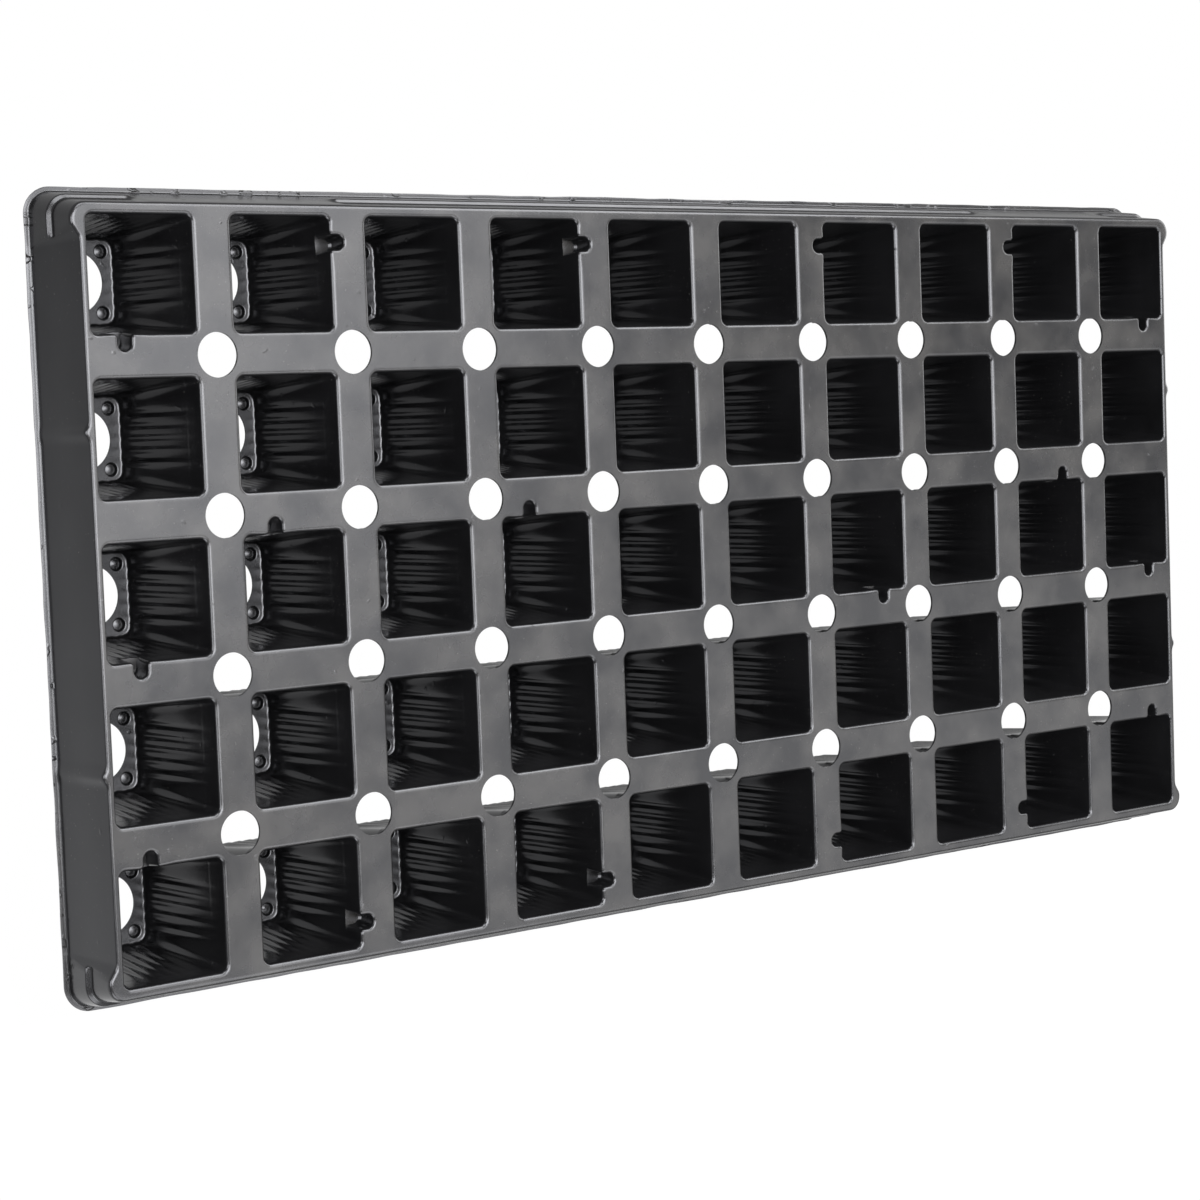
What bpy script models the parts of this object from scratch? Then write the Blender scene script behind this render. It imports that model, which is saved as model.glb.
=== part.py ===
"""Plug tray: a 50-cell propagation tray, thermoformed from one sheet of black polystyrene.

The real tray is a single drawn sheet. Here it is divided where a person would name its regions:
each cell is one node, a tapered pot hanging from its own square of deck, and the skirt round the
edge is four sides and four stacking corners. Where regions meet, a gap of 0.3 mm keeps them apart.

+X runs along the tray, +Y across it and +Z up out of the cells. The origin is under the middle of
the tray, level with the soles of the feet. Row 1 is the row at +Y, and column 1 the one at -X.
"""

import math

import bmesh
import bpy
from mathutils import Vector

MM = 0.001

# The grid
COLUMNS = 10
ROWS = 5
PITCH = 54.0 * MM
GAP = 0.3 * MM

# Thickness of the sheet, which thins as it is drawn
DECK_SHEET = 0.9 * MM
WALL_SHEET = 0.6 * MM
SKIRT_SHEET = 0.6 * MM

# A cell
MOUTH_HALF = 19.8 * MM
MOUTH_CORNER = 2.6 * MM
FLOOR_HALF = 15.0 * MM
FLOOR_CORNER = 4.6 * MM
CELL_DEPTH = 48.2 * MM
DRAIN_RADIUS = 10.8 * MM
DRAIN_SIDES = 12
FOOT_OFFSET = 10.6 * MM
FOOT_RADIUS = 2.4 * MM
FOOT_HEIGHT = 1.4 * MM

# The air holes where four cells meet
HOLE_RADIUS = 7.65 * MM
HOLE_STEPS = 3

# The deck, its corner flares and the skirt
DECK_HALF_X = 264.9 * MM
DECK_HALF_Y = 131.6 * MM
FLARE = 3.2 * MM
FLARE_START = 119.5 * MM
FLARE_END = 124.5 * MM
FLARE_EASE = 0.4 * MM
FLARE_FOOT_START = 117.4 * MM  # the flare's creases nearly meet at its foot
FLARE_FOOT_END = 118.0 * MM
CORNER_RADIUS = 6.0 * MM
CORNER_STEPS = 4
SKIRT_HEIGHT = 26.6 * MM
RIM_HALF_X = 271.5 * MM
RIM_HALF_Y = 138.5 * MM
RIM_CORNER = 9.5 * MM
RIM_WIDTH = 1.8 * MM

# The moulded step halfway down the skirt, round each corner and along the middle of each long side
LEDGE_DEPTH = 13.0 * MM
LEDGE_DROP = 0.8 * MM
LEDGE_STEP = 1.6 * MM
CORNER_LEDGE_END = 241.0 * MM
MIDDLE_LEDGE_END = 163.0 * MM
LEDGE_FADE = 5.0 * MM

# The two stiffening ribs on each short side
RIB_Y = 56.5 * MM
RIB_HALF_WIDTH = 3.6 * MM
RIB_HEIGHT = 1.6 * MM
RIB_FOOT_SHARE = 0.6

# Where the skirt is divided into sides and corners
SIDE_END_Y = 116.0 * MM
SIDE_END_X = 230.0 * MM

# The nesting-stop notches, small pockets in the web beside a mouth
NOTCH_WIDTH = 5.0 * MM
NOTCH_REACH = 5.4 * MM
NOTCH_DEPTH = 8.5 * MM
NOTCH_SHOULDER = 0.7
NOTCH_TIP = 0.45
CUT_PAST = 1.0 * MM

# Heights
FLOOR_UNDERSIDE = FOOT_HEIGHT
FLOOR_TOP = FLOOR_UNDERSIDE + WALL_SHEET
DECK_TOP = FLOOR_TOP + CELL_DEPTH
DECK_UNDERSIDE = DECK_TOP - DECK_SHEET
RIM_UNDERSIDE = DECK_TOP - SKIRT_HEIGHT
RIM_TOP = RIM_UNDERSIDE + SKIRT_SHEET

# Where the tiles of deck stop, clear of the skirt
TILE_HALF = (PITCH - GAP) / 2
TILE_LIMIT_X = DECK_HALF_X - SKIRT_SHEET - GAP
TILE_LIMIT_Y = DECK_HALF_Y - SKIRT_SHEET - GAP

PLASTIC = (0.018, 0.018, 0.020, 1.0)
PLASTIC_ROUGHNESS = 0.42


def column_x(column):
    """The middle of a column, counted from 1 at -X."""
    return (column - (COLUMNS + 1) / 2) * PITCH


def row_y(row):
    """The middle of a row, counted from 1 at +Y."""
    return ((ROWS + 1) / 2 - row) * PITCH


# (row, column): (side of the mouth that the notch opens from, place along that side)
NOTCH_SIDE_OFFSET = 10.8 * MM
NOTCH_END_OFFSET = 7.4 * MM
NOTCHES = {
    (1, 2): ((1, 0), NOTCH_SIDE_OFFSET),
    (1, 4): ((1, 0), NOTCH_SIDE_OFFSET),
    (1, 7): ((-1, 0), NOTCH_SIDE_OFFSET),
    (1, 9): ((-1, 0), NOTCH_SIDE_OFFSET),
    (5, 2): ((1, 0), -NOTCH_SIDE_OFFSET),
    (5, 4): ((1, 0), -NOTCH_SIDE_OFFSET),
    (5, 7): ((-1, 0), -NOTCH_SIDE_OFFSET),
    (5, 9): ((-1, 0), -NOTCH_SIDE_OFFSET),
    (1, 1): ((0, -1), -NOTCH_END_OFFSET),
    (3, 1): ((0, -1), -NOTCH_END_OFFSET),
    (5, 1): ((0, 1), -NOTCH_END_OFFSET),
    (1, 10): ((0, -1), NOTCH_END_OFFSET),
    (3, 10): ((0, -1), NOTCH_END_OFFSET),
    (5, 10): ((0, 1), NOTCH_END_OFFSET),
    (3, 2): ((0, 1), -NOTCH_END_OFFSET),
    (3, 4): ((0, 1), -NOTCH_END_OFFSET),
    (3, 9): ((0, 1), NOTCH_END_OFFSET),
    (3, 7): ((0, -1), NOTCH_END_OFFSET),
}


def plastic(name):
    material = bpy.data.materials.new(name + "_plastic")
    material.use_nodes = True
    shader = material.node_tree.nodes["Principled BSDF"]
    shader.inputs["Base Color"].default_value = PLASTIC
    shader.inputs["Roughness"].default_value = PLASTIC_ROUGHNESS
    shader.inputs["Metallic"].default_value = 0.0
    return material


def add_object(name, bm, location):
    bmesh.ops.recalc_face_normals(bm, faces=bm.faces)
    mesh = bpy.data.meshes.new(name)
    bm.to_mesh(mesh)
    bm.free()
    mesh.materials.append(plastic(name))
    piece = bpy.data.objects.new(name, mesh)
    piece.location = location
    bpy.context.scene.collection.objects.link(piece)
    return piece


def loop(bm, points, z):
    """A closed ring of vertices at height z."""
    verts = [bm.verts.new((x, y, z)) for x, y in points]
    for a, b in zip(verts, verts[1:] + verts[:1]):
        bm.edges.new((a, b))
    return verts


def wall(bm, lower, upper):
    """Quads between two rings of the same number of vertices."""
    count = len(lower)
    for i in range(count):
        j = (i + 1) % count
        bm.faces.new((lower[i], lower[j], upper[j], upper[i]))


def plate(bm, *rings):
    """A flat face inside the first ring and outside the others."""
    edges = [bm.edges.get((a, b)) for ring in rings for a, b in zip(ring, ring[1:] + ring[:1])]
    bmesh.ops.triangle_fill(bm, use_beauty=True, edges=edges, normal=(0, 0, 1))


def chamfered_square(half, corner):
    """The ring of a square whose corners are cut, anticlockwise."""
    inner = half - corner
    return [
        (half, -inner), (half, inner), (inner, half), (-inner, half),
        (-half, inner), (-half, -inner), (-inner, -half), (inner, -half),
    ]  # fmt: skip


def circle(x, y, radius, sides):
    """A ring of points round (x, y)."""
    turns = [math.tau * (i + 0.5) / sides for i in range(sides)]
    return [(x + radius * math.cos(a), y + radius * math.sin(a)) for a in turns]


def arc(x, y, radius, start, end, steps):
    """Points on an arc round (x, y), from angle start to angle end."""
    angles = [start + (end - start) * i / steps for i in range(steps + 1)]
    return [(x + radius * math.cos(a), y + radius * math.sin(a)) for a in angles]


def inner_corner(corner_x, corner_y):
    """A tile's corner in the field, where a quarter of an air hole bites into it."""
    towards = math.atan2(-corner_y, -corner_x)
    middle_x = math.copysign(PITCH / 2, corner_x)
    middle_y = math.copysign(PITCH / 2, corner_y)
    clear = GAP / 2
    reach = math.sqrt(HOLE_RADIUS**2 - clear**2)
    start = math.asin(clear / HOLE_RADIUS)
    swing = math.pi / 4 - start
    points = arc(middle_x, middle_y, HOLE_RADIUS, towards + swing, towards - swing, HOLE_STEPS)
    # the two ends lie on the tile's own edges
    points[0] = snap(points[0], corner_x, corner_y, middle_x, middle_y, reach)
    points[-1] = snap(points[-1], corner_x, corner_y, middle_x, middle_y, reach)
    return points


def snap(point, corner_x, corner_y, middle_x, middle_y, reach):
    """Moves an arc's end onto the nearer of the two edges that meet at the tile's corner."""
    if abs(point[0] - corner_x) < abs(point[1] - corner_y):
        return (corner_x, middle_y - math.copysign(reach, middle_y))
    return (middle_x - math.copysign(reach, middle_x), corner_y)


def flared_corner(side_x, side_y, limit_x, limit_y, middle_y):
    """The tile's corner at one of the tray's corners, in the quadrant side_x, side_y, where the
    deck flares out over the end of the skirt. Runs anticlockwise."""
    centre_x = limit_x + FLARE - (CORNER_RADIUS - SKIRT_SHEET - GAP)
    radius = CORNER_RADIUS - SKIRT_SHEET - GAP
    centre_y = limit_y - radius
    start = FLARE_START + FLARE_EASE - middle_y
    end = FLARE_END + FLARE_EASE - middle_y
    points = [(limit_x, start), (limit_x + FLARE, end)]
    points += arc(centre_x, centre_y, radius, 0.0, math.pi / 2, CORNER_STEPS)
    points = [(side_x * x, side_y * y) for x, y in points]
    return points if side_x * side_y > 0 else points[::-1]


def tile_outline(row, column):
    """The ring of a cell's square of deck, anticlockwise, about the cell's middle."""
    reach_x = TILE_LIMIT_X - abs(column_x(column))
    reach_y = TILE_LIMIT_Y - abs(row_y(row))
    east = reach_x if column == COLUMNS else TILE_HALF
    west = reach_x if column == 1 else TILE_HALF
    north = reach_y if row == 1 else TILE_HALF
    south = reach_y if row == ROWS else TILE_HALF
    outline = []
    for side_x, side_y in ((1, 1), (-1, 1), (-1, -1), (1, -1)):
        limit_x = east if side_x > 0 else west
        limit_y = north if side_y > 0 else south
        at_end = (column == COLUMNS and side_x > 0) or (column == 1 and side_x < 0)
        at_side = (row == 1 and side_y > 0) or (row == ROWS and side_y < 0)
        if at_end and at_side:
            outline += flared_corner(side_x, side_y, limit_x, limit_y, abs(row_y(row)))
        elif at_end or at_side:
            outline.append((side_x * limit_x, side_y * limit_y))
        else:
            outline += inner_corner(side_x * limit_x, side_y * limit_y)
    return outline


def cell_mesh(outline):
    """A pot hanging from its tile of deck, with a drain hole in its floor and four feet."""
    bm = bmesh.new()
    slope = (MOUTH_HALF - FLOOR_HALF) / CELL_DEPTH
    under_deck_half = MOUTH_HALF + WALL_SHEET - slope * DECK_SHEET
    tile_top = loop(bm, outline, DECK_TOP)
    tile_bottom = loop(bm, outline, DECK_UNDERSIDE)
    mouth = loop(bm, chamfered_square(MOUTH_HALF, MOUTH_CORNER), DECK_TOP)
    collar = loop(bm, chamfered_square(under_deck_half, MOUTH_CORNER), DECK_UNDERSIDE)
    floor = loop(bm, chamfered_square(FLOOR_HALF, FLOOR_CORNER), FLOOR_TOP)
    sole = loop(bm, chamfered_square(FLOOR_HALF + WALL_SHEET, FLOOR_CORNER), FLOOR_UNDERSIDE)
    drain = circle(0, 0, DRAIN_RADIUS, DRAIN_SIDES)
    drain_top = loop(bm, drain, FLOOR_TOP)
    drain_bottom = loop(bm, drain, FLOOR_UNDERSIDE)
    feet = []
    for side_x in (-1, 1):
        for side_y in (-1, 1):
            square = circle(side_x * FOOT_OFFSET, side_y * FOOT_OFFSET, FOOT_RADIUS, 4)
            feet.append((loop(bm, square, FLOOR_UNDERSIDE), loop(bm, square, 0.0)))
    wall(bm, tile_bottom, tile_top)
    wall(bm, floor, mouth)
    wall(bm, sole, collar)
    wall(bm, drain_bottom, drain_top)
    for root, end in feet:
        wall(bm, end, root)
        plate(bm, end)
    plate(bm, tile_top, mouth)
    plate(bm, tile_bottom, collar)
    plate(bm, floor, drain_top)
    plate(bm, sole, drain_bottom, *[root for root, _ in feet])
    return bm


def notch_ring(side, along, start, tip, half_width):
    """The plan of a notch that opens from one side of a mouth: parallel sides and a rounded tip."""
    direction = Vector(side)
    across = Vector((abs(side[1]), abs(side[0])))
    middle = across * along
    shoulder = tip - half_width * NOTCH_SHOULDER
    half_tip = half_width * NOTCH_TIP
    ends = [(start, half_width), (shoulder, half_width), (tip, half_tip)]
    ring = [middle + direction * out - across * half for out, half in ends]
    ring += [middle + direction * out + across * half for out, half in reversed(ends)]
    return [(point.x, point.y) for point in ring]


def notch_block(name, low_ring, high_ring, bottom, top):
    """A closed prism between two rings of the same number of points, left out of the tray."""
    bm = bmesh.new()
    low = loop(bm, low_ring, bottom)
    high = loop(bm, high_ring, top)
    wall(bm, low, high)
    plate(bm, low)
    plate(bm, high)
    block = add_object(name, bm, (0.0, 0.0, 0.0))
    block.hide_render = True
    block.display_type = "WIRE"
    return block


def add_boolean(piece, block, operation):
    block.location = piece.location
    modifier = piece.modifiers.new(operation.lower(), "BOOLEAN")
    modifier.operation = operation
    modifier.object = block
    modifier.solver = "EXACT"


def add_notch(piece, side, along):
    """A pocket in the web: its walls are joined on, then its inside and the pot's wall are cut."""
    half = NOTCH_WIDTH / 2
    bottom = DECK_TOP - NOTCH_DEPTH
    tip = MOUTH_HALF + NOTCH_REACH
    slope = (MOUTH_HALF - FLOOR_HALF) / CELL_DEPTH
    in_wall = MOUTH_HALF + WALL_SHEET / 2
    outer = (tip + WALL_SHEET, half + WALL_SHEET)
    pocket_top = DECK_TOP - DECK_SHEET / 2
    pocket_bottom = bottom - WALL_SHEET
    low_start = in_wall - slope * (NOTCH_DEPTH + WALL_SHEET)
    filler = notch_block(
        piece.name + "_pocket",
        notch_ring(side, along, low_start, *outer),
        notch_ring(side, along, in_wall - slope * DECK_SHEET / 2, *outer),
        pocket_bottom,
        pocket_top,
    )
    inside = notch_ring(side, along, MOUTH_HALF - NOTCH_REACH, tip, half)
    cutter = notch_block(piece.name + "_notch", inside, inside, bottom, DECK_TOP + CUT_PAST)
    add_boolean(piece, filler, "UNION")
    add_boolean(piece, cutter, "DIFFERENCE")


def build_cell(row, column):
    name = f"cell_r{row}_c{column}"
    location = (column_x(column), row_y(row), 0.0)
    return add_object(name, cell_mesh(tile_outline(row, column)), location)


def build_cells():
    for row in range(1, ROWS + 1):
        for column in range(1, COLUMNS + 1):
            cell = build_cell(row, column)
            if (row, column) in NOTCHES:
                side, along = NOTCHES[row, column]
                add_notch(cell, side, along)


def share(value, start, end):
    """How far value is from start to end, between 0 and 1."""
    return min(max((value - start) / (end - start), 0.0), 1.0)


def short_side(y):
    """A station on the straight part of the short side at +X."""
    rib = RIB_HEIGHT * (1.0 - share(abs(abs(y) - RIB_Y), 0.0, RIB_HALF_WIDTH))
    edge = Vector((DECK_HALF_X + rib, y))
    foot = Vector((RIM_HALF_X - RIM_WIDTH + rib * RIB_FOOT_SHARE, y))
    rim = Vector((RIM_HALF_X, y))
    return edge, foot, rim, Vector((1.0, 0.0)), 0.0


def long_side(x):
    """A station on the long side at +Y."""
    corner = share(abs(x), CORNER_LEDGE_END - LEDGE_FADE, CORNER_LEDGE_END)
    middle = 1.0 - share(abs(x), MIDDLE_LEDGE_END - LEDGE_FADE, MIDDLE_LEDGE_END)
    edge = Vector((x, DECK_HALF_Y))
    foot = Vector((x, RIM_HALF_Y - RIM_WIDTH))
    rim = Vector((x, RIM_HALF_Y))
    return edge, foot, rim, Vector((0.0, 1.0)), max(corner, middle)


def corner_stations():
    """The stations of the corner at +X, +Y, from the short side round to the long side."""
    stations = [short_side(SIDE_END_Y + GAP)]
    starts = (FLARE_START, FLARE_FOOT_START, 0.0, 0.0)
    ends = (FLARE_END, FLARE_FOOT_END, FLARE, 1.0)
    for y, foot_y, flare, ledge in (starts, ends):
        edge = Vector((DECK_HALF_X + flare, y))
        foot = Vector((RIM_HALF_X - RIM_WIDTH, foot_y))
        stations.append((edge, foot, Vector((RIM_HALF_X, foot_y)), Vector((1.0, 0.0)), ledge))
    flared_x = DECK_HALF_X + FLARE
    edges = corner_arc(flared_x, DECK_HALF_Y, CORNER_RADIUS)
    feet = corner_arc(RIM_HALF_X - RIM_WIDTH, RIM_HALF_Y - RIM_WIDTH, RIM_CORNER - RIM_WIDTH)
    rims = corner_arc(RIM_HALF_X, RIM_HALF_Y, RIM_CORNER)
    outs = arc(0.0, 0.0, 1.0, 0.0, math.pi / 2, CORNER_STEPS)
    for edge, foot, rim, out in zip(edges, feet, rims, outs):
        stations.append((Vector(edge), Vector(foot), Vector(rim), Vector(out), 1.0))
    for x in (CORNER_LEDGE_END, CORNER_LEDGE_END - LEDGE_FADE, SIDE_END_X + GAP):
        stations.append(long_side(x))
    return stations


def corner_arc(limit_x, limit_y, radius):
    """A quarter turn inside the corner of a rectangle that reaches limit_x and limit_y."""
    return arc(limit_x - radius, limit_y - radius, radius, 0.0, math.pi / 2, CORNER_STEPS)


def skirt_section(edge, foot, rim, out, ledge):
    """The closed section of the skirt at one station: down the outside, round the rim and back
    up the inside. ledge is from 0, a plain slope, to 1, a full step."""
    drop = DECK_TOP - RIM_TOP
    middle = edge.lerp(foot, LEDGE_DEPTH / drop)
    half_step = out * (LEDGE_STEP * ledge / 2)
    step_top = DECK_TOP - LEDGE_DEPTH
    step_bottom = step_top - LEDGE_DROP
    sheet = out * SKIRT_SHEET
    return [
        (*edge, DECK_TOP),
        (*(middle - half_step), step_top),
        (*(middle + half_step), step_bottom),
        (*foot, RIM_TOP),
        (*rim, RIM_TOP),
        (*rim, RIM_UNDERSIDE),
        (*(foot - sheet), RIM_UNDERSIDE),
        (*(middle + half_step - sheet), step_bottom - SKIRT_SHEET),
        (*(middle - half_step - sheet), step_top - SKIRT_SHEET),
        (*(edge - sheet), DECK_TOP),
    ]


def build_skirt(name, stations, side_x, side_y):
    """Sweeps the section along the stations, mirrored into the quadrant side_x, side_y."""
    bm = bmesh.new()
    rings = []
    for station in stations:
        points = skirt_section(*station)
        rings.append([bm.verts.new((side_x * x, side_y * y, z)) for x, y, z in points])
    for ring, following in zip(rings, rings[1:]):
        wall(bm, ring, following)
    bm.faces.new(rings[0])
    bm.faces.new(rings[-1])
    add_object(name, bm, (0.0, 0.0, 0.0))


def build_skirts():
    rib_stops = [RIB_Y - RIB_HALF_WIDTH, RIB_Y, RIB_Y + RIB_HALF_WIDTH]
    ys = [-SIDE_END_Y, *[-y for y in reversed(rib_stops)], *rib_stops, SIDE_END_Y]
    short = [short_side(y) for y in ys]
    ledge_stops = [MIDDLE_LEDGE_END - LEDGE_FADE, MIDDLE_LEDGE_END]
    xs = [-SIDE_END_X, *[-x for x in reversed(ledge_stops)], *ledge_stops, SIDE_END_X]
    long = [long_side(x) for x in xs]
    corner = corner_stations()
    for side, word in ((-1, "left"), (1, "right")):
        build_skirt("skirt_" + word, short, side, 1)
    for side, word in ((-1, "front"), (1, "back")):
        build_skirt("skirt_" + word, long, 1, side)
        build_skirt(f"corner_{word}_left", corner, -1, side)
        build_skirt(f"corner_{word}_right", corner, 1, side)


def main():
    for old in list(bpy.data.objects):
        bpy.data.objects.remove(old)
    build_cells()
    build_skirts()


main()
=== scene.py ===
"""Plug tray: the looks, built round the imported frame.

The tray is one thermoformed sheet of black polystyrene. Each piece here is a region of that sheet,
drawn as a fine single skin and then given the sheet's thickness: fifty pots with their squares of
deck, four sides of the skirt and four corners. Where pieces meet they share the same border, so
the sheet reads as one.

+X runs along the tray, +Y across it and +Z up out of the cells. Sizes are in metres.
"""

import math

import bmesh
import bpy
from mathutils import Matrix, Vector, noise

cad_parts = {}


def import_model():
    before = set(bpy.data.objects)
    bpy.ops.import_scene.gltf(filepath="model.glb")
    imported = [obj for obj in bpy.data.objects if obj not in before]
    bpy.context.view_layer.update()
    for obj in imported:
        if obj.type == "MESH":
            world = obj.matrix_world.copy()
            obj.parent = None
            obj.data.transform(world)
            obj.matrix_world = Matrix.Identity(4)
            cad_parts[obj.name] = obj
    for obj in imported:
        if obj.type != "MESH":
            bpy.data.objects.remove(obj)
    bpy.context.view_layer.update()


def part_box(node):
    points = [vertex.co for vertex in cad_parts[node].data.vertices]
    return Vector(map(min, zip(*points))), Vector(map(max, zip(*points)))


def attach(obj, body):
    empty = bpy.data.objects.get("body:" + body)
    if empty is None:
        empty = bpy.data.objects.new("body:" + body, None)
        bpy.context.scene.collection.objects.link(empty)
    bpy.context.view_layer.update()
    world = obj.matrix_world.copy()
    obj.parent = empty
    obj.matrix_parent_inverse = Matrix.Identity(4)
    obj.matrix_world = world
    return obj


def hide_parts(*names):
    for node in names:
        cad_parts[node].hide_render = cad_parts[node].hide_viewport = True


MM = 0.001
BODY = "root"

COLUMNS = 10
ROWS = 5

# The sheet
DECK_SHEET = 0.9 * MM
WALL_SHARE = 0.65  # how thick the drawn walls are, as a share of the deck
THIN_BY = 7.0 * MM  # depth below the deck where the sheet has reached that thickness
SMOOTH_ANGLE = math.radians(38)

# The mouth of a cell and its lip
WALL_TOP_HALF = 19.5 * MM
WALL_TOP_CORNER = 2.5 * MM
LIP_RADIUS = 1.6 * MM
END_LIP_RADIUS = 0.9 * MM  # beside the short sides of the skirt, where the deck is narrowest
LIP_STEPS = 6
FLAT_EDGE = 0.15 * MM  # a narrow flat strip that keeps a plate's shading flat

# The wall of a cell
FLOOR_TOP = 2.0 * MM
FLOOR_HALF = 15.0 * MM
FLOOR_CORNER = 4.0 * MM
FLOOR_FILLET = 1.0 * MM
FLOOR_FILLET_STEPS = 4
WALL_LEVELS = (0.0, 0.015, 0.04, 0.08, 0.15, 0.25, 0.36, 0.48, 0.6, 0.72)
CORNER_STEPS = 8

# The upright grooves in each wall, which widen and deepen from nothing near the mouth
GROOVES = 5
GROOVE_SPACING = 4.3 * MM
GROOVE_FLOOR_WIDTH = 3.6 * MM
GROOVE_MOUTH_WIDTH = 3.4 * MM
GROOVE_DEPTH = 1.0 * MM
GROOVE_FOOT_DEPTH = 0.25 * MM
GROOVE_TOP = 0.95  # how far up the wall they start
GROOVE_DEEPEST = 0.15  # and where they are deepest, before they close at the floor
GROOVE_STEPS = 10
PANEL_STEPS = 1
OUTER_STEPS = 4
SLOTTED_SIDE_STEP = 0.35 * MM

# The floor of a cell
DRAIN_RADIUS = 10.8 * MM
DRAIN_STEPS = 72
CUP_OFFSET = 10.6 * MM
CUP_RADIUS = 2.3 * MM
CUP_LIP = 0.35 * MM
CUP_FLOOR = 0.7 * MM
CUP_STEPS = 28
CUP_DOME = 0.35 * MM

# The air holes where four cells meet
HOLE_RADIUS = 7.65 * MM
HOLE_STEPS = 14

# The nesting-stop notches beside some mouths
SLOT_HALF = 2.5 * MM
SLOT_TIP = 25.1 * MM
SLOT_DEPTH = 8.5 * MM
SHELF_SINK = 0.45 * MM
SHELF_REACH = 0.86  # how much of the way out the shelf goes before it turns up
SHELF_BEND = 0.35 * MM
SLOT_LIP = 1.2 * MM
SLOT_SHOULDER = 1.5 * MM
SLOT_STEPS = 4
SLOT_EASE = 6.0 * MM
SLOT_ON_SIDE = 10.8 * MM
SLOT_ON_END = 7.4 * MM

# The edge of the deck and the skirt
SEAM = 0.9 * MM  # from the last tile of the frame to the edge of the deck
END_EDGE = 1.3 * MM  # how wide the skirt's own border of deck is, at the short sides
SIDE_EDGE = 2.2 * MM  # and at the long sides
EDGE_CORNER = 3.4 * MM
FLARE = 3.2 * MM
FLARE_START = 119.5 * MM
FLARE_END = 124.5 * MM
FLARE_FOOT_START = 117.4 * MM  # the flare's creases nearly meet at its foot
FLARE_FOOT_END = 118.0 * MM
CORNER_RADIUS = 6.0 * MM
RIM_CORNER = 9.5 * MM
RIM_WIDTH = 1.8 * MM
LEDGE_DEPTH = 13.0 * MM
LEDGE_DROP = 0.8 * MM
LEDGE_STEP = 1.7 * MM
CORNER_LEDGE_END = 241.0 * MM
MIDDLE_LEDGE_END = 163.0 * MM
LEDGE_FADE = 6.0 * MM
LEDGE_ON_FLARE = 0.55  # how far along the flare the corner's ledge begins
SIDE_END_X = 230.0 * MM
SIDE_END_Y = 116.0 * MM
RIB_Y = 56.5 * MM
RIB_HALF_WIDTH = 3.4 * MM
RIB_HEIGHT = 1.9 * MM
RIB_FOOT_SHARE = 0.2
SOFTEN = 1.0 * MM
EDGE_SETBACK = 1.7 * MM
LEDGE_SETBACK = 0.55 * MM
FOOT_SETBACK = 0.8 * MM
RIM_DROOP = 0.14 * MM
BEND_STEPS = 6
MOST = 0.95  # the share of a straight run that one bend may take
PLAIN_BEND = 1.5 * MM  # the reach of the bend's points where there is no ledge
RIM_WANDER = 0.22 * MM
RIM_WANDER_SCALE = 90

# How far apart the stations round the skirt are
SHORT_STEP = 4 * MM
RIB_STEP = 0.45 * MM
RIB_MARGIN = 1.5 * MM
LONG_STEP = 3 * MM
FADE_STEP = 0.5 * MM
FADE_MARGIN = 1 * MM
FLARE_STEP = 0.3 * MM
CORNER_STEP = 2 * MM

SIDES = (Vector((1, 0)), Vector((0, 1)), Vector((-1, 0)), Vector((0, -1)))
EAST, NORTH, WEST, SOUTH = range(4)
QUADRANTS = (Vector((1, 1)), Vector((-1, 1)), Vector((-1, -1)), Vector((1, -1)))

# (row, column): (side that the notch opens from, place along it, towards +X or +Y)
SLOTS = {
    (1, 2): (EAST, SLOT_ON_SIDE),
    (1, 4): (EAST, SLOT_ON_SIDE),
    (1, 7): (WEST, SLOT_ON_SIDE),
    (1, 9): (WEST, SLOT_ON_SIDE),
    (5, 2): (EAST, -SLOT_ON_SIDE),
    (5, 4): (EAST, -SLOT_ON_SIDE),
    (5, 7): (WEST, -SLOT_ON_SIDE),
    (5, 9): (WEST, -SLOT_ON_SIDE),
    (1, 1): (SOUTH, -SLOT_ON_END),
    (3, 1): (SOUTH, -SLOT_ON_END),
    (5, 1): (NORTH, -SLOT_ON_END),
    (1, 10): (SOUTH, SLOT_ON_END),
    (3, 10): (SOUTH, SLOT_ON_END),
    (5, 10): (NORTH, SLOT_ON_END),
    (3, 2): (NORTH, -SLOT_ON_END),
    (3, 4): (NORTH, -SLOT_ON_END),
    (3, 9): (NORTH, SLOT_ON_END),
    (3, 7): (SOUTH, SLOT_ON_END),
}


def lerp(a, b, t):
    return a + (b - a) * t


def share(value, start, end):
    """How far value is from start to end, between 0 and 1."""
    return min(max((value - start) / (end - start), 0.0), 1.0)


def ease(value, start, end):
    """The same, starting and stopping gently."""
    t = share(value, start, end)
    return t * t * (3.0 - 2.0 * t)


def softened(function, at, reach=SOFTEN):
    """The mean of a function round a point, which rounds off its creases."""
    places = [at + reach * k / 4 for k in range(-4, 5)]
    return sum(function(place) for place in places) / len(places)


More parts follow.
